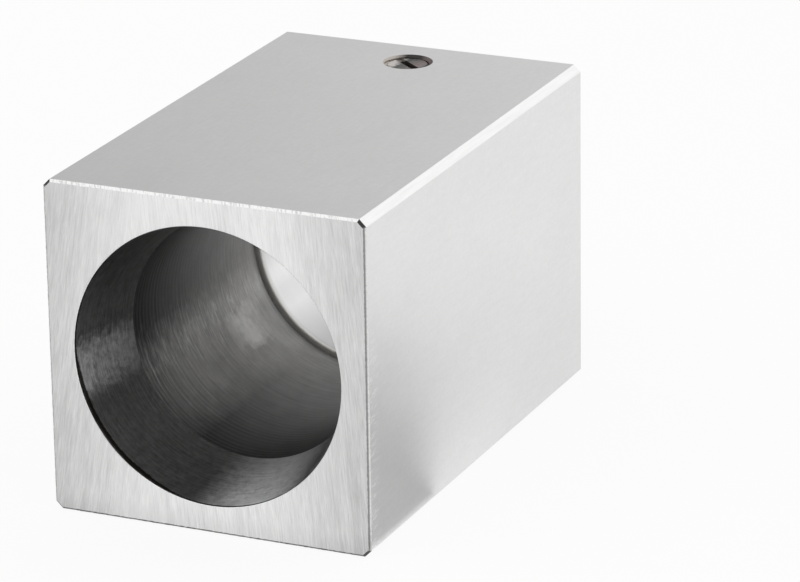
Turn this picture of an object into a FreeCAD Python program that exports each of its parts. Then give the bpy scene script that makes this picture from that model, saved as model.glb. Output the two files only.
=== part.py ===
# Square collet block: a ground steel block with a tapered mouth, and the slotted screw that keys a collet
# Millimetres. The block stands on its bottom flat, centred on X and Y, with its mouth at -Y and the key on top

import FreeCAD, Part
import os

import Sketcher

# Driving dimensions: name, value, what it is
DIMENSIONS = [
    ("section_side", 44.45, "across the flats, 1 3/4 inch"),
    ("block_length", 69.85, "mouth face to rear face, 2 3/4 inch"),
    ("corner_chamfer", 0.95, "leg of the 45 degree chamfer along each long edge"),
    ("mouth_break", 0.33, "leg of the edge break round the mouth face"),
    ("rear_break", 0.1, "leg of the edge break round the rear face"),
    ("mouth_diameter", 37.08, "large end of the ground taper, at the mouth face"),
    ("taper_half_angle", 10, "degrees between the taper and the axis of the bore"),
    ("relief_diameter", 32.8, "turned bore behind the taper, which a collet doesn't touch"),
    ("land_diameter", 31.763, "ground bore that guides a collet's shank, 1.2505 inch"),
    ("land_length", 21.35, "small end of the lead-in to the rear face"),
    ("lead_in_angle", 30, "degrees between the lead-in cone and the axis of the bore"),
    ("rear_chamfer", 0.5, "leg of the 45 degree chamfer at the rear end of the bore"),
    ("key_from_rear", 7.1, "axis of the key screw to the rear face"),
    ("thread_diameter", 6.35, "major diameter of the key screw's thread, 1/4 inch"),
    ("thread_clearance", 0.05, "key screw to its tapped hole, on the radius"),
    ("hole_break", 0.15, "leg of the tapped hole's edge break on the top flat"),
    ("screw_recess", 0.35, "top flat down to the slotted end of the key screw"),
    ("thread_length", 4.0, "slotted end to the shoulder of the dog point"),
    ("screw_chamfer", 0.45, "leg of the chamfers at both ends of the thread"),
    ("slot_width", 1.05, "screwdriver slot"),
    ("slot_depth", 1.4, "screwdriver slot"),
    ("slot_angle", -40, "degrees from +X to the slot, seen from above"),
    ("dog_diameter", 3.1, "dog point, for a 1/8 inch keyway"),
    ("dog_length", 1.8, "shoulder to the tip of the dog point"),
    ("dog_chamfer", 0.25, "leg of the chamfer at the dog point's tip"),
]

# Sizes and places that follow from the driving dimensions
DERIVED = [
    ("half_side", "section_side / 2"),
    ("half_length", "block_length / 2"),
    ("chamfer_start", "half_side - corner_chamfer"),
    ("chamfer_top", "section_side - corner_chamfer"),
    ("mouth_radius", "mouth_diameter / 2"),
    ("relief_radius", "relief_diameter / 2"),
    ("land_radius", "land_diameter / 2"),
    ("rear_radius", "land_radius + rear_chamfer"),
    ("taper_length", "(mouth_radius - relief_radius) / tan(taper_half_angle * 1 deg)"),
    ("lead_in_length", "(relief_radius - land_radius) / tan(lead_in_angle * 1 deg)"),
    ("taper_end", "taper_length - half_length"),
    ("land_start", "half_length - land_length"),
    ("relief_end", "land_start - lead_in_length"),
    ("rear_chamfer_start", "half_length - rear_chamfer"),
    ("key_place", "half_length - key_from_rear"),
    ("hole_radius", "thread_radius + thread_clearance"),
    ("hole_mouth_radius", "hole_radius + hole_break"),
    ("hole_break_start", "section_side - hole_break"),
    ("thread_radius", "thread_diameter / 2"),
    ("thread_end_radius", "thread_radius - screw_chamfer"),
    ("screw_top", "section_side - screw_recess"),
    ("head_chamfer_start", "screw_top - screw_chamfer"),
    ("dog_radius", "dog_diameter / 2"),
    ("dog_tip_radius", "dog_radius - dog_chamfer"),
    ("thread_end", "screw_top - thread_length"),
    ("thread_chamfer_end", "thread_end + screw_chamfer"),
    ("dog_tip", "thread_end - dog_length"),
    ("dog_chamfer_end", "dog_tip + dog_chamfer"),
    ("half_slot", "slot_width / 2"),
]

doc = FreeCAD.newDocument("collet_block")
sheet = doc.addObject("Spreadsheet::Sheet", "Dimensions")
sheet_names = {entry[0] for entry in DIMENSIONS + DERIVED}


def fill_sheet():
    """Write each driving dimension, then each size that follows, on a row of its own."""
    rows = [(name, str(value), note) for name, value, note in DIMENSIONS]
    rows += [(name, "=" + formula, "follows") for name, formula in DERIVED]
    for row, (name, content, note) in enumerate(rows, start=1):
        sheet.set(f"A{row}", name)
        sheet.set(f"B{row}", content)
        sheet.set(f"C{row}", note)
        sheet.setAlias(f"B{row}", name)
    doc.recompute()


def bound(formula):
    """Turn the sheet's names in a formula into references to the sheet."""
    words = formula.split(" ")
    return " ".join(f"Dimensions.{word}" if word in sheet_names else word for word in words)


def new_body(name):
    """Start a sub-part. Its label names its file."""
    body = doc.addObject("PartDesign::Body", name)
    body.Label = name
    return body


def new_sketch(body, name, plane_role, **offset):
    """Add a sketch on one of the body's origin planes, moved and turned in that plane's own axes."""
    plane = next(item for item in body.Origin.OriginFeatures if item.Role == plane_role)
    sketch = body.newObject("Sketcher::SketchObject", name)
    sketch.AttachmentSupport = [(plane, "")]
    sketch.MapMode = "FlatFace"
    paths = {"x": "Base.x", "y": "Base.y", "z": "Base.z", "turn": "Rotation.Angle"}
    for key, formula in offset.items():
        sketch.setExpression(f"AttachmentOffset.{paths[key]}", bound(formula))
    return sketch


def draw_outline(sketch, corners):
    """Draw a closed outline. Each corner is held by two formulas, measured from the sketch's origin."""
    points = [
        FreeCAD.Vector(*(float(sheet.evalExpression(bound(formula))) for formula in corner), 0)
        for corner in corners
    ]
    count = len(points)
    for index in range(count):
        sketch.addGeometry(Part.LineSegment(points[index], points[(index + 1) % count]), False)
    for index in range(count):
        sketch.addConstraint(Sketcher.Constraint("Coincident", index, 2, (index + 1) % count, 1))
    for index, corner in enumerate(corners):
        hold_point(sketch, index, "DistanceX", corner[0], points[index].x)
        hold_point(sketch, index, "DistanceY", corner[1], points[index].y)


def hold_point(sketch, line, direction, formula, value):
    """Hold the start of a line on an axis of the sketch, or at a bound distance from it."""
    origin_line, start = -1, 1
    if formula == "0":
        axis = {"DistanceX": -2, "DistanceY": -1}[direction]
        sketch.addConstraint(Sketcher.Constraint("PointOnObject", line, start, axis))
        return
    place = sketch.addConstraint(
        Sketcher.Constraint(direction, origin_line, start, line, start, value)
    )
    name = f"corner_{line}_{direction[-1].lower()}"
    sketch.renameConstraint(place, name)
    sketch.setExpression(f"Constraints.{name}", bound(formula))


def add_feature(body, kind, name, profile, **settings):
    """Add a feature made from a sketch, with plain settings."""
    feature = body.newObject(kind, name)
    feature.Profile = profile
    for key, value in settings.items():
        setattr(feature, key, value)
    return feature


def make_cut(body, kind, name, profile, **settings):
    """Add a pocket or a groove, and stop if it takes nothing away."""
    before = body.Shape.Volume
    feature = add_feature(body, kind, name, profile, **settings)
    doc.recompute()
    if body.Shape.Volume >= before:
        raise RuntimeError(f"{name} cuts nothing")
    return feature


def end_edges(body, place):
    """Name the straight edges of the body's shape that lie in the end face at this Y."""
    names = []
    for number, edge in enumerate(body.Shape.Edges, start=1):
        straight = isinstance(edge.Curve, Part.Line)
        if straight and all(abs(vertex.Y - place) < Part.Precision.confusion() for vertex in edge.Vertexes):
            names.append(f"Edge{number}")
    return names


def break_end(body, name, side, size):
    """Break the outline edges of one end face: side is -1 at the mouth and 1 at the rear."""
    base = body.Tip
    edges = end_edges(body, side * sheet.half_length)
    feature = body.newObject("PartDesign::Chamfer", name)
    feature.Base = (base, edges)
    feature.setExpression("Size", bound(size))
    doc.recompute()


def make_block():
    """The block: bar stock, broken ends, the bore from mouth to rear, and the tapped hole."""
    body = new_body("block")

    section = new_sketch(body, "section", "XZ_Plane", z="0 - half_length")
    draw_outline(section, [
        ("0 - chamfer_start", "0"),
        ("chamfer_start", "0"),
        ("half_side", "corner_chamfer"),
        ("half_side", "chamfer_top"),
        ("chamfer_start", "section_side"),
        ("0 - chamfer_start", "section_side"),
        ("0 - half_side", "chamfer_top"),
        ("0 - half_side", "corner_chamfer"),
    ])
    bar = add_feature(body, "PartDesign::Pad", "bar", section)
    bar.setExpression("Length", bound("block_length"))
    doc.recompute()
    break_end(body, "mouth_edge_break", -1, "mouth_break")
    break_end(body, "rear_edge_break", 1, "rear_break")

    bore = new_sketch(body, "bore_profile", "YZ_Plane", y="half_side")
    draw_outline(bore, [
        ("0 - half_length", "0"),
        ("0 - half_length", "mouth_radius"),
        ("taper_end", "relief_radius"),
        ("relief_end", "relief_radius"),
        ("land_start", "land_radius"),
        ("rear_chamfer_start", "land_radius"),
        ("half_length", "rear_radius"),
        ("half_length", "0"),
    ])
    make_cut(body, "PartDesign::Groove", "bore", bore, ReferenceAxis=(bore, ["H_Axis"]))

    hole = new_sketch(body, "key_hole_profile", "YZ_Plane", x="key_place")
    draw_outline(hole, [
        ("0", "half_side"),
        ("hole_radius", "half_side"),
        ("hole_radius", "hole_break_start"),
        ("hole_mouth_radius", "section_side"),
        ("0", "section_side"),
    ])
    make_cut(body, "PartDesign::Groove", "key_hole", hole, ReferenceAxis=(hole, ["V_Axis"]))
    return body


def make_key_screw():
    """The key screw: a slotted headless screw whose lower end is turned down to a dog point."""
    body = new_body("key_screw")

    outline = new_sketch(body, "screw_profile", "YZ_Plane", x="key_place")
    draw_outline(outline, [
        ("0", "dog_tip"),
        ("dog_tip_radius", "dog_tip"),
        ("dog_radius", "dog_chamfer_end"),
        ("dog_radius", "thread_end"),
        ("thread_end_radius", "thread_end"),
        ("thread_radius", "thread_chamfer_end"),
        ("thread_radius", "head_chamfer_start"),
        ("thread_end_radius", "screw_top"),
        ("0", "screw_top"),
    ])
    add_feature(body, "PartDesign::Revolution", "turned_screw", outline, ReferenceAxis=(outline, ["V_Axis"]))
    doc.recompute()

    slot = new_sketch(body, "slot_outline", "XY_Plane", y="key_place", z="screw_top", turn="slot_angle")
    draw_outline(slot, [
        ("0 - thread_diameter", "0 - half_slot"),
        ("thread_diameter", "0 - half_slot"),
        ("thread_diameter", "half_slot"),
        ("0 - thread_diameter", "half_slot"),
    ])
    cut = add_feature(body, "PartDesign::Pocket", "slot", slot)
    cut.setExpression("Length", bound("slot_depth"))
    doc.recompute()
    return body


def check_and_write(bodies):
    """Stop on any failed feature or bad shape, then write one file for each sub-part."""
    doc.recompute()
    failed = [item.Name for item in doc.Objects if {"Invalid", "Error"} & set(item.State)]
    if failed:
        raise RuntimeError(f"failed: {failed}")
    os.makedirs("parts", exist_ok=True)
    for body in bodies:
        if body.Shape.isNull() or not body.Shape.isValid() or len(body.Shape.Solids) != 1:
            raise RuntimeError(f"{body.Label} isn't one valid solid")
        body.Shape.exportStep(f"parts/{body.Label}.step")
        print(body.Label, round(body.Shape.Volume, 3), body.Shape.BoundBox)


fill_sheet()
check_and_write([make_block(), make_key_screw()])
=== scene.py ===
from math import atan2, cos, hypot, pi, radians, sin, tan

import bmesh
import bpy
from mathutils import Matrix, Vector, noise


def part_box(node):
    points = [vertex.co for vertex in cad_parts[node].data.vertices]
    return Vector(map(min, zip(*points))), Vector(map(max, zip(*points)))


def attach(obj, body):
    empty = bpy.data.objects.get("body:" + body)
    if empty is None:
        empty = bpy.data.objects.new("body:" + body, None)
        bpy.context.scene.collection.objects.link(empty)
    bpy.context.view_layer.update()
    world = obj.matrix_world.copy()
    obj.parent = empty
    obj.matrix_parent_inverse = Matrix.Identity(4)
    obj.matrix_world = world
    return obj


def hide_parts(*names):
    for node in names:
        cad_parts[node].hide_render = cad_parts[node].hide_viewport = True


mm = 0.001
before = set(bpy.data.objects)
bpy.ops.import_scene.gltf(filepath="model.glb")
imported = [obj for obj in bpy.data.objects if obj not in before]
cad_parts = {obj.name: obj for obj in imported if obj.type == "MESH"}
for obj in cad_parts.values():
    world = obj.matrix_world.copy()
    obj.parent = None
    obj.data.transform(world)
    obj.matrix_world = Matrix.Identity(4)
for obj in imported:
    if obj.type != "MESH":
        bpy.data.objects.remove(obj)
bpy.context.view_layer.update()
blockLow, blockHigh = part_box("block")
screwLow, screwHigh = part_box("key_screw")
print("frame loaded")

# what a user would change on the block, in millimetres and degrees
block = {
    "side": (blockHigh.z - blockLow.z) / mm,
    "length": (blockHigh.y - blockLow.y) / mm,
    "cornerChamfer": 0.95,
    "mouthBreak": 0.33,
    "rearBreak": 0.1,
    "mouthRadius": 18.54,
    "mouthRim": 0.06,  # fine bright break round the mouth
    "taperAngle": 10,
    "reliefRadius": 16.4,
    "leadInAngle": 30,
    "landRadius": 15.8815,
    "landLength": 21.35,
    "rearChamfer": 0.5,
    "wallSteps": 192,  # faces round the bore
    "taperRows": 40,
    "leadInRows": 3,
    "landRows": 21,
    "ringPitch": 0.95,  # turning marks in the relief bore
    "ringHeight": 0.0075,
    "ringRows": 281,
    "ringFade": (24, 0.25),  # depth over which they fade, and the least that stays
    "darkRing": 0.35,  # depth of the dark band inside the mouth
    "breakRows": 161,  # divisions along each end break
    "breakWander": 0.16,  # how far the filed edges wander, as a share of the break
}

# the key screw, its thread and its hole
screw = {
    "pitch": 25.4 / 28,
    "flanks": (0.14, 0.44, 0.56, 0.86),  # where the thread rises and falls, as shares of a pitch
    "flankRows": 4,
    "turns": 10,
    "turnsDown": 8,  # how many of them start below the screw's top
    "crestRadius": 3.12,
    "rootRadius": 2.6,
    "endChamfer": 0.45,
    "threadLength": 4.0,
    "dogRadius": 1.55,
    "dogChamfer": 0.25,
    "slotWidth": 1.05,
    "slotDepth": 1.4,
    "slotAngle": -40,
    "turnSteps": 64,
    "dogSteps": 48,
    "holeCrest": 3.225,
    "holeRoot": 2.72,
    "holeBreak": 0.15,
    "holeBreakReach": 0.6,  # the break's cone is worked out from this far under the hole's edge
    "holeBelow": 1.2,  # the hole's cutter goes on into the bore
    "holeAbove": 0.25,  # and above the flat
}

halfSide = block["side"] / 2
halfLength = block["length"] / 2
taperEnd = (block["mouthRadius"] - block["reliefRadius"]) / tan(radians(block["taperAngle"])) - halfLength
landStart = halfLength - block["landLength"]
reliefEnd = landStart - (block["reliefRadius"] - block["landRadius"]) / tan(radians(block["leadInAngle"]))
keyPlace = Vector((0, (screwLow.y + screwHigh.y) / 2 / mm, 0))
screwTop = screwHigh.z / mm
screwBottom = screwLow.z / mm


def drawLine(bm, corners, rows):
    # a line through the corners, each stretch divided into its number of rows
    verts = [bm.verts.new(corner) for corner in corners]
    edges = [bm.edges.new(pair) for pair in zip(verts, verts[1:])]
    for edge, count in zip(edges, rows):
        if count > 1:
            bmesh.ops.subdivide_edges(bm, edges=[edge], cuts=count - 1)
    edges = [e for e in bm.edges if e.is_wire]
    return list({v for e in edges for v in e.verts}) + edges


def newObject(name, bm):
    mesh = bpy.data.meshes.new(name)
    bmesh.ops.scale(bm, vec=(mm, mm, mm), verts=bm.verts)
    bm.to_mesh(mesh)
    bm.free()
    piece = bpy.data.objects.new(name, mesh)
    bpy.context.scene.collection.objects.link(piece)
    return piece


def cutAway(piece, cutter):
    # takes the cutter's shape out of the piece and throws the cutter away
    cut = piece.modifiers.new("cut", "BOOLEAN")
    cut.operation = "DIFFERENCE"
    cut.solver = "EXACT"
    cut.object = cutter
    cut.material_mode = "TRANSFER"
    bpy.context.view_layer.update()
    seen = piece.evaluated_get(bpy.context.evaluated_depsgraph_get())
    mesh = bpy.data.meshes.new_from_object(seen)
    piece.modifiers.clear()
    piece.data = mesh
    bpy.data.objects.remove(cutter)


def finishShading(piece, sharpAngle):
    # faces are smooth, with crisp edges at every corner and wherever the finish changes
    bm = bmesh.new()
    bm.from_mesh(piece.data)
    for face in bm.faces:
        face.smooth = True
    for edge in bm.edges:
        sides = edge.link_faces
        sameFinish = len(sides) == 2 and sides[0].material_index == sides[1].material_index
        edge.smooth = sameFinish and edge.calc_face_angle(0) < radians(sharpAngle)
    bm.to_mesh(piece.data)
    bm.free()


def newMaterial(name, colour, roughness, metallic=1.0):
    material = bpy.data.materials.new(name)
    material.use_nodes = True
    tree = material.node_tree
    shader = tree.nodes["Principled BSDF"]
    shader.inputs["Base Color"].default_value = (*colour, 1)
    shader.inputs["Roughness"].default_value = roughness
    shader.inputs["Metallic"].default_value = metallic
    return material, tree, shader


def addNode(tree, kind, inputs=None, **settings):
    # inputs are sockets to link or plain values, by the node's own socket names or numbers
    node = tree.nodes.new(kind)
    for key, value in settings.items():
        setattr(node, key, value)
    for key, value in (inputs or {}).items():
        if isinstance(value, bpy.types.NodeSocket):
            tree.links.new(value, node.inputs[key])
        else:
            node.inputs[key].default_value = value
    return node


def objectPlace(tree, scale, turn=(0, 0, 0), centre=(0, 0, 0)):
    # object coordinates, centred, turned and then stretched; scale is in cycles a millimetre
    place = addNode(tree, "ShaderNodeTexCoord")
    moved = addNode(tree, "ShaderNodeMapping", {
        "Vector": place.outputs["Object"],
        "Location": [-c * mm for c in centre],
    })
    turned = addNode(tree, "ShaderNodeMapping", {
        "Vector": moved.outputs["Vector"],
        "Rotation": [radians(a) for a in turn],
    })
    stretched = addNode(tree, "ShaderNodeMapping", {
        "Vector": turned.outputs["Vector"],
        "Scale": [s / mm for s in scale],
    })
    return stretched.outputs["Vector"]


def grain(tree, vector, detail=4.0, roughness=0.6, distortion=0.0):
    return addNode(tree, "ShaderNodeTexNoise", {
        "Vector": vector, "Scale": 1.0, "Detail": detail, "Roughness": roughness, "Distortion": distortion,
    }).outputs["Fac"]


def remap(tree, value, low, high, fromLow=0.3, fromHigh=0.7):
    return addNode(tree, "ShaderNodeMapRange", {
        "Value": value, "From Min": fromLow, "From Max": fromHigh, "To Min": low, "To Max": high,
    }).outputs["Result"]


def blendColours(tree, factor, first, second):
    mix = addNode(tree, "ShaderNodeMix", data_type="RGBA")
    for socket, value in ((mix.inputs[0], factor), (mix.inputs[6], first), (mix.inputs[7], second)):
        if isinstance(value, bpy.types.NodeSocket):
            tree.links.new(value, socket)
        else:
            socket.default_value = value if socket is mix.inputs[0] else (*value, 1)
    return mix.outputs[2]


def addBump(tree, shader, height, distance):
    bump = addNode(tree, "ShaderNodeBump", {"Height": height, "Distance": distance * mm, "Strength": 1.0})
    tree.links.new(bump.outputs["Normal"], shader.inputs["Normal"])


def blendValues(tree, factor, first, second):
    mix = addNode(tree, "ShaderNodeMix", {0: factor, 2: first, 3: second}, data_type="FLOAT")
    return mix.outputs[0]


def along(tree, direction, centre=(0, 0, 0)):
    # how far a point lies along a direction, in millimetres
    place = addNode(tree, "ShaderNodeTexCoord")
    moved = addNode(tree, "ShaderNodeVectorMath", {
        0: place.outputs["Object"], 1: [-c * mm for c in centre],
    }, operation="ADD")
    return addNode(tree, "ShaderNodeVectorMath", {
        0: moved.outputs[0], 1: [c / mm for c in direction],
    }, operation="DOT_PRODUCT").outputs["Value"]


def facing(tree, angle):
    # 1 on the bore's wall at this angle round the axis, falling away to both sides
    place = addNode(tree, "ShaderNodeTexCoord")
    moved = addNode(tree, "ShaderNodeVectorMath", {
        0: place.outputs["Object"], 1: (0, 0, -halfSide * mm),
    }, operation="ADD")
    flat = addNode(tree, "ShaderNodeVectorMath", {0: moved.outputs[0], 1: (1, 0, 1)}, operation="MULTIPLY")
    unit = addNode(tree, "ShaderNodeVectorMath", {0: flat.outputs[0]}, operation="NORMALIZE")
    return addNode(tree, "ShaderNodeVectorMath", {
        0: unit.outputs[0], 1: (cos(radians(angle)), 0, sin(radians(angle))),
    }, operation="DOT_PRODUCT").outputs["Value"]


def addSum(tree, first, second):
    return addNode(tree, "ShaderNodeMath", {0: first, 1: second}, operation="ADD").outputs[0]


def addProduct(tree, first, second):
    return addNode(tree, "ShaderNodeMath", {0: first, 1: second}, operation="MULTIPLY").outputs[0]


def addAbsolute(tree, value):
    return addNode(tree, "ShaderNodeMath", {0: value}, operation="ABSOLUTE").outputs[0]


def distanceFrom(tree, centre):
    # how far a point lies from an upright line through the centre, in millimetres
    place = objectPlace(tree, (1, 1, 0), centre=centre)
    return addNode(tree, "ShaderNodeVectorMath", {0: place}, operation="LENGTH").outputs["Value"]


# finishes of the block

flats = {
    "colour": (0.79, 0.79, 0.788),
    "dark": (0.73, 0.73, 0.728),
    "roughness": 0.3,
    "scratchLean": -10,  # marks of the file that broke the mouth's edge, nearly along the block
    "scratchReach": (1.5, 3.4),  # how far they run back from the mouth face
    "scratchHeight": (24, 31),  # they thin out between these heights
    "scratchColour": (0.93, 0.93, 0.927),
}
chamfers = {"colour": (0.92, 0.92, 0.917), "dark": (0.84, 0.84, 0.837), "roughness": 0.3}
endFace = {
    "colour": (0.92, 0.92, 0.917),
    "dark": (0.5, 0.5, 0.498),
    "roughness": 0.36,
    "grainShare": (0.272, 0.795),  # how far the marks reach from the dark colour to the light one
    "lean": (-9, 5),  # degrees by which the marks lean over, on the left and on the right
    "leanReach": (-15, -4),  # between these places across the face one lean gives way to the other
    "sheenWidth": (9, 22),  # painted highlight: the face is brighter inside the first distance from its middle
    "sheenShade": (0.2353, -0.2406),  # by this much there, and outside the second distance
    "lowShade": -0.0785,  # painted shade: it darkens from mid height down
    "bottomShade": (-0.2092, 3),  # and more in the last millimetres
    "topShade": (0.0523, 36, 42),  # and a painted highlight makes it brightest along the top
}
taperWall = {
    "colour": (0.76, 0.76, 0.76),
    "dark": (0.37, 0.37, 0.37),
    "roughness": 0.32,
    "brightPatch": 0.78,  # roughness of a worn patch, which is also painted bright as a highlight
    "wornSheenColour": (0.96, 0.96, 0.97),
    # angle round the bore, how the patch fades in, and how strong it is
    "wornSheenPatches": ((190, 0.97, 1.0, 0.6), (288, 0.89, 0.998, 0.9), (166, 0.92, 1.0, 0.14)),
    "mouthShade": (1.0, 0.76),  # painted shade: the taper darkens from the mouth to the taper's end
}
turnedWall = {
    "colour": (0.275, 0.272, 0.266),
    "dark": (0.14, 0.138, 0.135),
    "roughness": 0.42,
    "shadeDepth": (-24, 14),  # painted shade: the turned wall is darker towards the mouth
    "mouthShade": 0.04,
    "shadeCurve": 1.25,
    "edgeShade": 0.6,  # and painted darker where the lead-in begins
    "sheenBand": (216, 0.88, 0.985),  # painted sheen: the angle round the bore where the band is brightest, how it fades in
    "rubbedColour": (0.52, 0.513, 0.5),
    "sheenDepth": (-23, 2),  # how far in it is as bright as that
    "sheenShade": 0.38,  # and how bright it is at the mouth end
    "sheenFade": (-16, -3),  # how far in it thins out
    "sheenThin": 0.3,
    "glintDepth": (-1, 3, 5, 10),  # a painted highlight at that angle, far in
    "smearColour": (0.62, 0.61, 0.59),
    "glintStrength": 0.35,
    "streakReach": (0.48, 0.85),  # where the crests are smoother, and painted brighter as a highlight
    "streakBand": (203, 0.94, 1.0),  # the angle round the bore that they keep to
    "streakColour": (0.26, 0.26, 0.255),
    "streakRoughness": 0.3,
}
landWall = {
    # painted light and shade by height: darker low down, a little darker on top
    "upper": (0.73, 0.73, 0.73),
    "colour": (0.83, 0.83, 0.83),
    "low": (0.56, 0.56, 0.56),
    "upperHeight": (12, 14.5),
    "lowHeight": (8, 12),
    "entryColour": (0.98, 0.955, 0.91),
    "leadShade": 0.5,  # the lead-in is darker where it meets the turned bore
    "roughness": 0.42,
}
filedEdge = {"colour": (0.84, 0.84, 0.835), "dark": (0.6, 0.6, 0.597), "roughness": 0.3, "lean": 35}
# the breaks other than the top ones: painted dark as shade, with a painted highlight and darker corners
paintedShadeEdge = {
    "dark": (0.08, 0.08, 0.079),
    "light": (0.85, 0.85, 0.847),
    "roughness": 0.35,
    "rim": (0.19, 0.09),  # painted highlight between these distances from the flat, but not at the corners
    "cornerFade": 0.1,
}
mouthBand = {
    "dark": (0.085, 0.078, 0.071),
    "light": (0.3, 0.285, 0.27),
    "roughness": 0.4,
    "widest": (218, 0.72, 0.94),  # the angle round the bore where the band is widest, how it narrows
    "width": (0.2, 0.9),
}
tapped = {
    # the hole's wall is dark as painted shade and painted lit on its left, where light falls in
    "dark": (0.05, 0.048, 0.046),
    "lit": (0.5, 0.46, 0.42),
    "litReach": (-2.8, -1.4),  # places across the hole
    "tinted": (0.27, 0.22, 0.215),
    "tintReach": (0.6, 2.4),
    "roughness": 0.5,
}
browned = {
    "middle": (0.1, 0.103, 0.098),
    "brightPatch": (0.74, 0.70, 0.67),  # painted light on the left of the slot, where light falls into the hole
    "litHeadReach": (-1.9, -1.0),  # places across the screw
    "tinted": (0.26, 0.21, 0.205),  # straw brown on the right
    "tintReach": (-0.3, 1.6),
    # painted shadow round the head's edge
    "rim": (0.06, 0.057, 0.055),
    "rimReach": (2.5, 2.75),
    "rimShift": (-0.2, 0.45, 0),  # the rim is a painted shadow of the hole's edge, widest towards the mouth
    "rimSide": (-2.0, -0.9),  # and missing on the left
    "roughness": 0.42,
}


def flatSteel():
    material, tree, shader = newMaterial("surfaceGround", flats["colour"], flats["roughness"])
    lines = grain(tree, objectPlace(tree, (2.4, 0.3, 2.4)), detail=5, roughness=0.7)
    clouds = grain(tree, objectPlace(tree, (0.08, 0.05, 0.08)), detail=2)
    speckle = grain(tree, objectPlace(tree, (1.5, 1.3, 1.5)), detail=5, roughness=0.8)
    mixed = addSum(tree, addProduct(tree, lines, 0.5), addProduct(tree, clouds, 0.5))
    mixed = addSum(tree, mixed, remap(tree, speckle, -0.16, 0.16))
    marks = objectPlace(tree, (2.4, 0.5, 2.4), (flats["scratchLean"], 0, 0))
    marks = grain(tree, marks, detail=3, roughness=0.8)
    nearMouth = remap(tree, along(tree, (0, 1, 0), (0, -halfLength, 0)), 1, 0, *flats["scratchReach"])
    lowDown = remap(tree, along(tree, (0, 0, 1)), 1, 0, *flats["scratchHeight"])
    scratched = addProduct(tree, addProduct(tree, nearMouth, lowDown), remap(tree, marks, 0, 1, 0.5, 0.62))
    colour = blendColours(tree, remap(tree, mixed, 0, 1), flats["dark"], flats["colour"])
    colour = blendColours(tree, scratched, colour, flats["scratchColour"])
    tree.links.new(colour, shader.inputs["Base Color"])
    rough = flats["roughness"]
    tree.links.new(remap(tree, clouds, rough - 0.02, rough + 0.02), shader.inputs["Roughness"])
    addBump(tree, shader, lines, 0.0013)
    return material


def chamferSteel():
    material, tree, shader = newMaterial("groundChamfer", chamfers["colour"], chamfers["roughness"])
    lines = grain(tree, objectPlace(tree, (2.4, 0.12, 2.4)), detail=5, roughness=0.7)
    colour = blendColours(tree, remap(tree, lines, 0, 1), chamfers["dark"], chamfers["colour"])
    tree.links.new(colour, shader.inputs["Base Color"])
    addBump(tree, shader, lines, 0.0013)
    return material


def endSteel():
    material, tree, shader = newMaterial("drawFiledEnd", endFace["colour"], endFace["roughness"])
    leans = [(0, lean, 0) for lean in endFace["lean"]]
    height = along(tree, (0, 0, 1))
    across = along(tree, (1, 0, 0))
    clouds = grain(tree, objectPlace(tree, (0.09, 0.09, 0.09)), detail=2)
    place = addSum(tree, across, remap(tree, clouds, -5, 5))
    rightward = remap(tree, place, 0, 1, *endFace["leanReach"])
    lines = blendValues(tree, rightward, *(
        grain(tree, objectPlace(tree, (3, 1, 0.13), lean), detail=6, roughness=0.8) for lean in leans
    ))
    fine = blendValues(tree, rightward, *(
        grain(tree, objectPlace(tree, (6, 1, 0.4), lean), detail=3, roughness=0.7) for lean in leans
    ))
    wide = blendValues(tree, rightward, *(
        grain(tree, objectPlace(tree, (0.8, 1, 0.07), lean), detail=3) for lean in leans
    ))
    streaks = addSum(tree, lines, addProduct(tree, fine, 0.6))
    broad = addSum(tree, addProduct(tree, wide, 0.5), addProduct(tree, clouds, 0.2))
    mixed = addSum(tree, addSum(tree, streaks, broad), -0.65)
    # painted highlight across the middle of the face, painted shade low down and along the bottom, painted
    # highlight along the top
    rubbed = remap(tree, addAbsolute(tree, across), *endFace["sheenShade"], *endFace["sheenWidth"])
    bottomShade, bottomReach = endFace["bottomShade"]
    topShade, topStart, topEnd = endFace["topShade"]
    lower = remap(tree, height, endFace["lowShade"], topShade, 0, halfSide)
    bottom = remap(tree, height, bottomShade, 0, 0, bottomReach)
    upper = remap(tree, height, 0, topShade, topStart, topEnd)
    rubbed = addSum(tree, rubbed, addSum(tree, addSum(tree, lower, bottom), upper))
    share = addSum(tree, remap(tree, mixed, *endFace["grainShare"]), rubbed)
    colour = blendColours(tree, share, endFace["dark"], endFace["colour"])
    tree.links.new(colour, shader.inputs["Base Color"])
    rough = endFace["roughness"]
    tree.links.new(remap(tree, lines, rough - 0.08, rough + 0.08), shader.inputs["Roughness"])
    addBump(tree, shader, lines, 0.01)
    return material


def filedSteel():
    material, tree, shader = newMaterial("filedEdge", filedEdge["colour"], filedEdge["roughness"])
    strokes = objectPlace(tree, (4.5, 1.0, 0.9), (0, filedEdge["lean"], 0))
    strokes = remap(tree, grain(tree, strokes, detail=4, distortion=0.4), 0, 1, 0.36, 0.52)
    marks = grain(tree, objectPlace(tree, (3.5, 3.5, 3.5)), detail=3, distortion=0.6)
    colour = blendColours(tree, strokes, filedEdge["dark"], filedEdge["colour"])
    tree.links.new(colour, shader.inputs["Base Color"])
    addBump(tree, shader, marks, 0.012)
    return material


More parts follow.
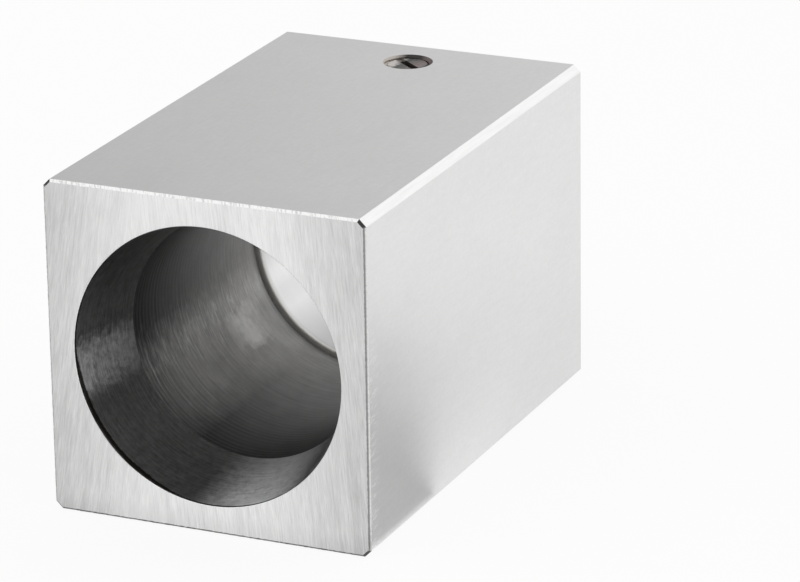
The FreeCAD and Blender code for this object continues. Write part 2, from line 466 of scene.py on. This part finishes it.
def paintedShadeEdgeSteel():
    material, tree, shader = newMaterial("paintedShadeEdge", paintedShadeEdge["light"], paintedShadeEdge["roughness"])
    # painted shade: dark, with a painted highlight along the sides and darker corners
    marks = grain(tree, objectPlace(tree, (1.2, 1.2, 4.0)), detail=4, distortion=0.4)
    across = addAbsolute(tree, along(tree, (1, 0, 0)))
    upright = addAbsolute(tree, along(tree, (0, 0, 1), (0, 0, halfSide)))
    rim = remap(tree, across, 0.3, 1, *(halfSide - inset for inset in paintedShadeEdge["rim"]))
    corner, fade = halfSide - block["cornerChamfer"], paintedShadeEdge["cornerFade"]
    body = remap(tree, upright, 1, 0, corner - fade, corner + fade)
    share = addProduct(tree, addProduct(tree, rim, body), remap(tree, marks, 0.75, 1))
    colour = blendColours(tree, share, paintedShadeEdge["dark"], paintedShadeEdge["light"])
    tree.links.new(colour, shader.inputs["Base Color"])
    addBump(tree, shader, marks, 0.012)
    return material


def mouthBandSteel():
    material, tree, shader = newMaterial("mouthBand", mouthBand["dark"], mouthBand["roughness"])
    marks = grain(tree, objectPlace(tree, (0.9, 2.5, 0.9)), detail=5, roughness=0.65)
    colour = blendColours(tree, remap(tree, marks, 0, 1, 0.45, 0.7), mouthBand["dark"], mouthBand["light"])
    tree.links.new(colour, shader.inputs["Base Color"])
    addBump(tree, shader, marks, 0.004)
    return material


def taperSteel():
    material, tree, shader = newMaterial("groundTaper", taperWall["colour"], taperWall["roughness"])
    rings = grain(tree, objectPlace(tree, (0.25, 6.0, 0.25)), detail=6, roughness=0.7)
    blotches = grain(tree, objectPlace(tree, (1.1, 1.1, 1.1)), detail=6, roughness=0.7)
    mixed = addSum(tree, addProduct(tree, rings, 0.6), addProduct(tree, blotches, 0.4))
    plain = blendColours(tree, remap(tree, mixed, 0, 1, 0.38, 0.62), taperWall["dark"], taperWall["colour"])
    # worn patches: rougher, and painted bright as highlights at these angles
    brightPatch = None
    for angle, fadeStart, fadeEnd, strength in taperWall["wornSheenPatches"]:
        near = addSum(tree, facing(tree, angle), addProduct(tree, addSum(tree, blotches, -0.5), 0.04))
        patch = remap(tree, near, 0, strength, fadeStart, fadeEnd)
        brightPatch = addSum(tree, brightPatch, patch) if brightPatch else patch
    grainy = addProduct(tree, brightPatch, remap(tree, mixed, 0.6, 1, 0.35, 0.6))
    finish = blendColours(tree, grainy, plain, taperWall["wornSheenColour"])
    depth = along(tree, (0, 1, 0), (0, -halfLength, 0))
    # painted shade deeper in the taper
    shade = remap(tree, depth, *taperWall["mouthShade"], 2, taperEnd + halfLength)
    shaded = blendColours(tree, shade, (0, 0, 0), finish)
    angle, start, full = mouthBand["widest"]
    narrow, wide = mouthBand["width"]
    width = remap(tree, facing(tree, angle), -narrow, -wide, start, full)
    width = addSum(tree, width, remap(tree, blotches, -0.1, 0.1))
    band = remap(tree, addSum(tree, depth, width), 1, 0, -0.06, 0.1)
    tree.links.new(blendColours(tree, band, shaded, mouthBand["dark"]), shader.inputs["Base Color"])
    rough = remap(tree, grainy, taperWall["roughness"], taperWall["brightPatch"], 0, 1)
    tree.links.new(rough, shader.inputs["Roughness"])
    addBump(tree, shader, rings, 0.003)
    return material


def turnedSteel():
    material, tree, shader = newMaterial("turnedBore", turnedWall["colour"], turnedWall["roughness"])
    rings = grain(tree, objectPlace(tree, (0.12, 4.0, 0.12)), detail=6, roughness=0.7)
    blotches = grain(tree, objectPlace(tree, (0.35, 0.35, 0.35)), detail=6, roughness=0.65)
    streaks = grain(tree, objectPlace(tree, (0.5, 2.4, 0.5)), detail=5, roughness=0.65)
    mixed = addSum(tree, addProduct(tree, rings, 0.65), addProduct(tree, blotches, 0.35))
    scaled = blendColours(tree, remap(tree, mixed, 0, 1), turnedWall["dark"], turnedWall["colour"])
    depth = along(tree, (0, 1, 0))
    # painted shade: darker towards the mouth
    shade = remap(tree, depth, turnedWall["mouthShade"], 1, *turnedWall["shadeDepth"])
    shade = addNode(tree, "ShaderNodeMath", {0: shade, 1: turnedWall["shadeCurve"]}, operation="POWER")
    shaded = blendColours(tree, shade.outputs[0], (0, 0, 0), scaled)
    # a painted sheen band at one angle round the bore, brightest far in
    angle, fadeStart, fadeEnd = turnedWall["sheenBand"]
    near = addSum(tree, facing(tree, angle), addProduct(tree, addSum(tree, blotches, -0.5), 0.06))
    rubbed = addProduct(tree, remap(tree, near, 0, 1, fadeStart, fadeEnd), remap(tree, mixed, 0.25, 0.65))
    thinned = remap(tree, depth, 1, turnedWall["sheenThin"], *turnedWall["sheenFade"])
    rubbed = addProduct(tree, rubbed, thinned)
    sheenShade = remap(tree, depth, turnedWall["sheenShade"], 1, *turnedWall["sheenDepth"])
    rubbedColour = blendColours(tree, sheenShade, (0, 0, 0), turnedWall["rubbedColour"])
    shaded = blendColours(tree, rubbed, shaded, rubbedColour)
    # a painted highlight in the sheen band, far in
    glintStart, glintFull, glintFade, glintEnd = turnedWall["glintDepth"]
    smear = remap(tree, depth, 0, 1, glintStart, glintFull)
    smear = addProduct(tree, smear, remap(tree, depth, 1, 0, glintFade, glintEnd))
    smear = addProduct(tree, smear, remap(tree, near, 0, turnedWall["glintStrength"], 0.98, 1))
    shaded = blendColours(tree, smear, shaded, turnedWall["smearColour"])
    # smoother crests, painted brighter as a highlight, kept to one angle round the bore
    angle, fadeStart, fadeEnd = turnedWall["streakBand"]
    band = remap(tree, facing(tree, angle), 0.05, 1, fadeStart, fadeEnd)
    bright = addProduct(tree, remap(tree, streaks, 0, 1, *turnedWall["streakReach"]), band)
    finish = blendColours(tree, bright, shaded, turnedWall["streakColour"])
    # painted shade where the lead-in begins
    edge = remap(tree, depth, 1, turnedWall["edgeShade"], reliefEnd - 1, reliefEnd)
    tree.links.new(blendColours(tree, edge, (0, 0, 0), finish), shader.inputs["Base Color"])
    rough = remap(tree, bright, turnedWall["roughness"], turnedWall["streakRoughness"], 0, 1)
    tree.links.new(rough, shader.inputs["Roughness"])
    addBump(tree, shader, rings, 0.006)
    return material


def landSteel():
    material, tree, shader = newMaterial("groundBore", landWall["colour"], landWall["roughness"])
    rings = grain(tree, objectPlace(tree, (0.1, 6.0, 0.1)), detail=4)
    # painted light and shade by height
    height = along(tree, (0, 0, 1))
    raised = remap(tree, height, 0, 1, *landWall["lowHeight"])
    wall = blendColours(tree, raised, landWall["low"], landWall["colour"])
    raised = remap(tree, height, 0, 1, *landWall["upperHeight"])
    wall = blendColours(tree, raised, wall, landWall["upper"])
    depth = along(tree, (0, 1, 0))
    entry = remap(tree, depth, 1, 0, landStart + 0.1, landStart + 0.5)
    colour = blendColours(tree, entry, wall, landWall["entryColour"])
    lead = remap(tree, depth, landWall["leadShade"], 1, reliefEnd + 0.1, landStart)
    colour = blendColours(tree, lead, (0, 0, 0), colour)
    tree.links.new(colour, shader.inputs["Base Color"])
    rough = landWall["roughness"]
    tree.links.new(remap(tree, rings, rough - 0.03, rough + 0.04), shader.inputs["Roughness"])
    addBump(tree, shader, rings, 0.0006)
    return material


def tappedSteel():
    material, tree, shader = newMaterial("tappedHole", tapped["dark"], tapped["roughness"])
    across = along(tree, (1, 0, 0))
    tint = remap(tree, across, 0, 1, *tapped["tintReach"])
    colour = blendColours(tree, tint, tapped["dark"], tapped["tinted"])
    # painted light on the left of the hole
    colour = blendColours(tree, remap(tree, across, 1, 0, *tapped["litReach"]), colour, tapped["lit"])
    tree.links.new(colour, shader.inputs["Base Color"])
    cut = grain(tree, objectPlace(tree, (1.5, 1.5, 6.0)), detail=4)
    addBump(tree, shader, cut, 0.006)
    return material


def brownedSteel():
    material, tree, shader = newMaterial("brownedScrew", browned["middle"], browned["roughness"])
    turned = grain(tree, objectPlace(tree, (3, 3, 8), centre=keyPlace), detail=4)
    stains = grain(tree, objectPlace(tree, (0.9, 0.9, 0.9)), detail=4)
    across = addSum(tree, along(tree, (1, 0, 0)), remap(tree, stains, -0.6, 0.6))
    tint = remap(tree, across, 0, 1, *browned["tintReach"])
    head = blendColours(tree, tint, browned["middle"], browned["tinted"])
    # painted light on the left of the head
    head = blendColours(tree, remap(tree, across, 1, 0, *browned["litHeadReach"]), head, browned["brightPatch"])
    # painted shadow from the hole's edge round the head
    away = distanceFrom(tree, keyPlace + Vector(browned["rimShift"]))
    rim = remap(tree, away, 0, 1, *browned["rimReach"])
    rim = addProduct(tree, rim, remap(tree, across, 0, 1, *browned["rimSide"]))
    tree.links.new(blendColours(tree, rim, head, browned["rim"]), shader.inputs["Base Color"])
    rough = browned["roughness"]
    tree.links.new(remap(tree, turned, rough - 0.1, rough + 0.1), shader.inputs["Roughness"])
    addBump(tree, shader, turned, 0.006)
    return material


# the block's finishes, in the order of its materials
onFlat, onEnd, onFiled, onPaintedShade, onBand, onTaper, onRelief, onLand, onChamfer = range(9)


def addPrism(bm):
    mouthBreak, rearBreak = block["mouthBreak"], block["rearBreak"]
    size = (block["side"], block["length"] - mouthBreak - rearBreak, block["side"])
    bmesh.ops.create_cube(bm, size=1)
    bmesh.ops.scale(bm, vec=size, verts=bm.verts)
    bmesh.ops.translate(bm, vec=(0, (mouthBreak - rearBreak) / 2, halfSide), verts=bm.verts)
    longEdges = [e for e in bm.edges if abs(e.verts[0].co.y - e.verts[1].co.y) > halfLength]
    bmesh.ops.bevel(
        bm, geom=longEdges, offset=block["cornerChamfer"], offset_type="OFFSET", affect="EDGES",
        segments=1, profile=0.5, material=-1,
    )
    for face in bm.faces:
        face.material_index = onFlat
    caps = [f for f in bm.faces if abs(f.normal.y) > 0.9]
    for cap in caps:
        atRear = cap.calc_center_median().y > 0
        broken = rearBreak if atRear else mouthBreak
        ring = bmesh.ops.inset_region(bm, faces=[cap], thickness=broken, depth=0, use_even_offset=True)
        bmesh.ops.translate(bm, vec=(0, broken if atRear else -broken, 0), verts=cap.verts)
        for face in ring["faces"]:
            face.material_index = onFiled
    acrossEdges = [e for e in bm.edges if abs(e.verts[0].co.y - e.verts[1].co.y) < 1e-6]
    edges = [e for e in acrossEdges if e.calc_length() > halfSide]
    bmesh.ops.subdivide_edges(bm, edges=edges, cuts=block["breakRows"] - 1, use_grid_fill=True)
    bmesh.ops.delete(bm, geom=[f for f in bm.faces if abs(f.normal.y) > 0.9], context="FACES_ONLY")


def wanderBreaks(bm):
    # a filed edge isn't straight: its corners move in the plane of the face they lie in
    keepClear = halfSide - block["cornerChamfer"] - 0.2
    for vert in bm.verts:
        x, y, z = vert.co.x, vert.co.y, vert.co.z - halfSide
        fromEnd = halfLength - abs(y)
        broken = block["mouthBreak"] if y < 0 else block["rearBreak"]
        if fromEnd > broken + 0.01 or min(abs(x), abs(z)) > keepClear or hypot(x, z) < halfSide - 1:
            continue
        place = x if abs(z) > abs(x) else z
        reach = broken * block["breakWander"]
        rough = noise.fractal(Vector((place * 1.6, y, (x + z) * 3.1)), 0.6, 2.2, 5) * reach
        if fromEnd > 0.01:
            vert.co.y += rough if y < 0 else -rough
        elif abs(z) > abs(x):
            vert.co.z += rough if z < 0 else -rough
        else:
            vert.co.x += rough if x < 0 else -rough


def addBore(bm):
    corners = [
        (-halfLength, block["mouthRadius"] + block["mouthRim"]),
        (block["mouthRim"] - halfLength, block["mouthRadius"]),
        (taperEnd, block["reliefRadius"]),
        (reliefEnd, block["reliefRadius"]),
        (landStart, block["landRadius"]),
        (halfLength - block["rearChamfer"], block["landRadius"]),
        (halfLength, block["landRadius"] + block["rearChamfer"]),
    ]
    rows = (1, block["taperRows"], block["ringRows"], block["leadInRows"], block["landRows"], 1)
    line = drawLine(bm, [(0, y, halfSide + r) for y, r in corners], rows)
    bmesh.ops.spin(
        bm, geom=line, cent=(0, 0, halfSide), axis=(0, 1, 0), angle=2 * pi,
        steps=block["wallSteps"], use_merge=True,
    )


def turnRings(bm):
    # turning marks: strong behind the taper, fading towards the rear, broken by chatter
    fadeDepth, least = block["ringFade"]
    for vert in bm.verts:
        x, y, z = vert.co.x, vert.co.y, vert.co.z - halfSide
        radius = hypot(x, z)
        if not (taperEnd + 0.05 < y < reliefEnd - 0.05 and abs(radius - block["reliefRadius"]) < 0.05):
            continue
        angle = atan2(z, x)
        drift = noise.noise(Vector((y * 0.25, cos(angle) * 0.5, sin(angle) * 0.5)))
        wave = sin(2 * pi * y / block["ringPitch"] + 2.5 * drift)
        fine = noise.noise(Vector((y * 2.3, cos(angle) * 1.4, sin(angle) * 1.4 + 7)))
        share = max(least, 1 - (y - taperEnd) / fadeDepth)
        height = block["ringHeight"] * share * (0.7 * wave + 0.9 * fine)
        vert.co.x += x / radius * height
        vert.co.z += z / radius * height


def finishOf(face):
    centre = face.calc_center_median()
    radius = hypot(centre.x, centre.z - halfSide)
    if centre.y < block["mouthRim"] - halfLength and radius < block["mouthRadius"] + block["mouthRim"]:
        return onFiled
    if radius > block["mouthRadius"]:
        if face.material_index == onFlat and abs(abs(face.normal.x) - abs(face.normal.z)) < 0.1:
            return onChamfer
        # only the edges along the top are filed bright; the other breaks are painted dark as shade
        isPaintedShade = face.material_index == onFiled and centre.z < block["side"] - block["mouthBreak"]
        return onPaintedShade if isPaintedShade else face.material_index
    if centre.y < block["darkRing"] - halfLength:
        return onBand
    if centre.y < taperEnd:
        return onTaper
    return onRelief if centre.y < reliefEnd else onLand


def closeEnds(bm):
    for place in (-halfLength, halfLength):
        rims = [
            e for e in bm.edges
            if e.is_boundary and all(abs(v.co.y - place) < 1e-4 for v in e.verts)
        ]
        made = bmesh.ops.triangle_fill(bm, use_beauty=True, use_dissolve=False, edges=rims)
        for item in made["geom"]:
            if isinstance(item, bmesh.types.BMFace):
                item.material_index = onEnd


def addThread(bm, crest, root, low, high):
    # one pitch of the thread's outline, wound up the screw's axis and trimmed to its height
    pitch, turns, rows = screw["pitch"], screw["turns"], screw["flankRows"]
    start = screwTop - pitch * screw["turnsDown"]
    outline = zip((root, root, crest, crest, root, root), (0, *screw["flanks"], 1))
    corners = [(radius, keyPlace.y, start + share * pitch) for radius, share in outline]
    line = drawLine(bm, corners, (1, rows, 1, rows, 1))
    bmesh.ops.spin(
        bm, geom=line, cent=keyPlace, axis=(0, 0, 1), dvec=(0, 0, pitch / screw["turnSteps"]),
        angle=2 * pi * turns, steps=screw["turnSteps"] * turns,
    )
    bmesh.ops.remove_doubles(bm, verts=bm.verts, dist=1e-4)
    for place, way in ((low, -1), (high, 1)):
        bmesh.ops.bisect_plane(
            bm, geom=bm.verts[:] + bm.edges[:] + bm.faces[:], plane_co=(0, 0, place),
            plane_no=(0, 0, way), clear_outer=True, dist=1e-5,
        )


def clampRadius(bm, limit, widen=False):
    # turns a cone on the thread: limit gives the radius at a height
    for vert in bm.verts:
        away = vert.co - keyPlace
        radius = hypot(away.x, away.y)
        wanted = max(radius, limit(vert.co.z)) if widen else min(radius, limit(vert.co.z))
        if radius > 0 and wanted != radius:
            vert.co.x = keyPlace.x + away.x / radius * wanted
            vert.co.y = keyPlace.y + away.y / radius * wanted


def fillFlat(bm, height):
    rims = [
        e for e in bm.edges
        if e.is_boundary and all(abs(v.co.z - height) < 1e-4 for v in e.verts)
    ]
    bmesh.ops.triangle_fill(bm, use_beauty=True, use_dissolve=False, edges=rims)


def makeKeyHole():
    bm = bmesh.new()
    low, high = halfSide + block["landRadius"] - screw["holeBelow"], block["side"] + screw["holeAbove"]
    addThread(bm, screw["holeCrest"], screw["holeRoot"], low, high)
    mouth = block["side"] - screw["holeBreak"]
    coneStart = mouth - screw["holeBreakReach"]
    clampRadius(bm, lambda z: screw["holeCrest"] + (z - mouth) if z > coneStart else 0, widen=True)
    fillFlat(bm, low)
    fillFlat(bm, high)
    bmesh.ops.recalc_face_normals(bm, faces=bm.faces)
    return newObject("keyHole", bm)


def makeBlock():
    bm = bmesh.new()
    addPrism(bm)
    wanderBreaks(bm)
    addBore(bm)
    bm.normal_update()
    for face in bm.faces:
        face.material_index = finishOf(face)
    closeEnds(bm)
    turnRings(bm)
    bmesh.ops.recalc_face_normals(bm, faces=bm.faces)
    piece = newObject("steelBlock", bm)
    finishes = (
        flatSteel, endSteel, filedSteel, paintedShadeEdgeSteel, mouthBandSteel, taperSteel, turnedSteel, landSteel,
        chamferSteel,
    )
    for finish in finishes:
        piece.data.materials.append(finish())
    hole = makeKeyHole()
    hole.data.materials.append(tappedSteel())
    cutAway(piece, hole)
    finishShading(piece, 32)
    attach(piece, "block")
    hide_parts("block")


def makeScrew():
    bm = bmesh.new()
    shoulder = screwTop - screw["threadLength"]
    chamfer = screw["endChamfer"]
    addThread(bm, screw["crestRadius"], screw["rootRadius"], shoulder, screwTop)
    endRadius = screw["crestRadius"] - chamfer
    clampRadius(bm, lambda z: endRadius + min(screwTop - z, z - shoulder))
    fillFlat(bm, screwTop)
    dog = [
        (0, screwBottom),
        (screw["dogRadius"] - screw["dogChamfer"], screwBottom),
        (screw["dogRadius"], screwBottom + screw["dogChamfer"]),
        (screw["dogRadius"], shoulder),
    ]
    line = drawLine(bm, [(keyPlace.x + r, keyPlace.y, z) for r, z in dog], (1, 1, 1))
    bmesh.ops.spin(
        bm, geom=line, cent=keyPlace, axis=(0, 0, 1), angle=2 * pi, steps=screw["dogSteps"], use_merge=True,
    )
    bmesh.ops.remove_doubles(bm, verts=bm.verts, dist=1e-5)
    fillFlat(bm, shoulder)
    bmesh.ops.recalc_face_normals(bm, faces=bm.faces)
    piece = newObject("slottedKeyScrew", bm)
    piece.data.materials.append(brownedSteel())

    bm = bmesh.new()
    bmesh.ops.create_cube(bm, size=1)
    size = (4 * screw["crestRadius"], screw["slotWidth"], 2 * screw["slotDepth"])
    bmesh.ops.scale(bm, vec=size, verts=bm.verts)
    turn = Matrix.Rotation(radians(screw["slotAngle"]), 3, "Z")
    bmesh.ops.rotate(bm, cent=(0, 0, 0), matrix=turn, verts=bm.verts)
    bmesh.ops.translate(bm, vec=keyPlace + Vector((0, 0, screwTop)), verts=bm.verts)
    slot = newObject("slot", bm)
    slot.data.materials.append(piece.data.materials[0])
    cutAway(piece, slot)
    finishShading(piece, 25)
    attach(piece, "key_screw")
    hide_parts("key_screw")


# the studio round it, in metres for the camera and the lamps and in millimetres for the rest
studio = {
    "cameraPlace": (0.24870, -0.52547, 0.22796),
    "cameraTurn": (70.3763, 0.8037, 24.0603),
    "lens": 211.54,
    # each lamp's place, what it points at, its size and its power
    "overhead": ((-0.35, -0.3, 0.9), (0, 0, 0.02), (2.0, 2.0), 10.6),
    "sideStrip": ((0.62, 1.03, 0.07), (0, 0, 0.03), (0.25, 0.12), 0.22),
    "floorSize": 3000,
    "floorColour": (0.86, 0.86, 0.86),
    "floorWhite": 0.9,  # share of the floor that the camera sees as plain white
    "floorShine": 0.95,  # the same for reflections
    "shadePlace": (32, 44, 0),  # where the floor beside the block is a little greyer in reflections, as painted shade
    "shadeShine": 0.74,
    "shadeReach": (12, 50),
    "brightSide": (0.75, 0.6, -0.25),
    "worldReach": (-0.1, 0.345),
    "worldLevels": (0.28, 1.05),
    "cardEdge": ((12, -33), (56, 43)),  # edge of a grey card beside the block, out of the camera's sight, standing in for the block's shadow on the floor
    "cardSize": (88, 15),
    "cardHeight": 0.5,
    "cardGreys": (0.72, 0.47, 0.62),  # near the mouth, in its middle and at its far end
    "cardFades": ((-15, 5), (15, 42)),  # depths between which one grey gives way to the next
}


def makeCamera():
    data = bpy.data.cameras.new("camera")
    data.lens = studio["lens"]
    data.sensor_width = 36
    data.clip_start = 0.05
    camera = bpy.data.objects.new("camera", data)
    camera.location = studio["cameraPlace"]
    camera.rotation_euler = [radians(a) for a in studio["cameraTurn"]]
    bpy.context.scene.collection.objects.link(camera)
    bpy.context.scene.camera = camera


def makeLamp(name, place, aim, size, power):
    data = bpy.data.lights.new(name, "AREA")
    data.shape = "RECTANGLE"
    data.size, data.size_y = size
    data.energy = power
    lamp = bpy.data.objects.new(name, data)
    lamp.location = place
    lamp.rotation_euler = (Vector(aim) - Vector(place)).to_track_quat("-Z", "Y").to_euler()
    bpy.context.scene.collection.objects.link(lamp)


def makeFloor():
    bm = bmesh.new()
    bmesh.ops.create_grid(bm, x_segments=1, y_segments=1, size=studio["floorSize"])
    floor = newObject("floor", bm)
    material = bpy.data.materials.new("paleFloor")
    material.use_nodes = True
    tree = material.node_tree
    shader = tree.nodes["Principled BSDF"]
    shader.inputs["Base Color"].default_value = (*studio["floorColour"], 1)
    shader.inputs["Roughness"].default_value = 0.9
    shader.inputs["Specular IOR Level"].default_value = 0.1
    white = addNode(tree, "ShaderNodeEmission", {"Color": (1, 1, 1, 1), "Strength": 1.0})
    rays = addNode(tree, "ShaderNodeLightPath")
    seen = addProduct(tree, rays.outputs["Is Camera Ray"], studio["floorWhite"])
    # painted shade in reflections of the floor beside the block
    away = distanceFrom(tree, studio["shadePlace"])
    shine = remap(tree, away, studio["shadeShine"], studio["floorShine"], *studio["shadeReach"])
    share = addSum(tree, seen, addProduct(tree, rays.outputs["Is Glossy Ray"], shine))
    mix = addNode(tree, "ShaderNodeMixShader", {0: share, 1: shader.outputs[0], 2: white.outputs[0]})
    tree.links.new(mix.outputs[0], tree.nodes["Material Output"].inputs["Surface"])
    floor.data.materials.append(material)


def makeCard():
    # a grey card, seen only in reflections, stands in as painted shadow beside the block, so that its side
    # darkens low down near the mouth
    (x0, y0), (x1, y1) = studio["cardEdge"]
    bm = bmesh.new()
    length, width = studio["cardSize"]
    bmesh.ops.create_grid(bm, x_segments=1, y_segments=1, size=0.5)
    bmesh.ops.scale(bm, vec=(length, width, 1), verts=bm.verts)
    turn = Matrix.Rotation(atan2(y1 - y0, x1 - x0), 3, "Z")
    bmesh.ops.translate(bm, vec=(0, -width / 2, studio["cardHeight"]), verts=bm.verts)
    bmesh.ops.rotate(bm, cent=(0, 0, 0), matrix=turn, verts=bm.verts)
    bmesh.ops.translate(bm, vec=((x0 + x1) / 2, (y0 + y1) / 2, 0), verts=bm.verts)
    bmesh.ops.bisect_plane(
        bm, geom=bm.verts[:] + bm.edges[:] + bm.faces[:], plane_co=(halfSide + 1, 0, 0),
        plane_no=(1, 0, 0), clear_inner=True,
    )
    card = newObject("shadowCard", bm)
    material, tree, shader = newMaterial("shadowCard", (0.3, 0.3, 0.3), 0.9, metallic=0)
    near, middle, far = ([grey] * 3 for grey in studio["cardGreys"])
    firstFade, secondFade = studio["cardFades"]
    depth = along(tree, (0, 1, 0))
    grey = blendColours(tree, remap(tree, depth, 0, 1, *firstFade), near, middle)
    grey = blendColours(tree, remap(tree, depth, 0, 1, *secondFade), grey, far)
    tree.links.new(grey, shader.inputs["Base Color"])
    card.data.materials.append(material)
    card.visible_camera = False
    card.visible_shadow = False
    card.visible_diffuse = False


def makeWorld():
    # soft light, brightest from the bright side and dim towards the camera
    world = bpy.data.worlds.new("studio")
    bpy.context.scene.world = world
    world.use_nodes = True
    tree = world.node_tree
    background = tree.nodes["Background"]
    background.inputs["Color"].default_value = (1, 1, 1, 1)
    place = addNode(tree, "ShaderNodeTexCoord")
    towards = addNode(tree, "ShaderNodeVectorMath", {
        0: place.outputs["Generated"], 1: Vector(studio["brightSide"]).normalized(),
    }, operation="DOT_PRODUCT")
    level = remap(tree, towards.outputs["Value"], *studio["worldLevels"], *studio["worldReach"])
    tree.links.new(level, background.inputs["Strength"])
    white = addNode(tree, "ShaderNodeBackground", {"Color": (1, 1, 1, 1), "Strength": 1.0})
    rays = addNode(tree, "ShaderNodeLightPath")
    mix = addNode(tree, "ShaderNodeMixShader", {
        0: rays.outputs["Is Camera Ray"], 1: background.outputs[0], 2: white.outputs[0],
    })
    tree.links.new(mix.outputs[0], tree.nodes["World Output"].inputs["Surface"])


makeBlock()
print("block made")
makeScrew()
print("screw made")
makeCamera()
makeFloor()
makeCard()
makeWorld()
for name in ("overhead", "sideStrip"):
    makeLamp(name, *studio[name])
bpy.context.scene.view_settings.view_transform = "Standard"
print("studio made")
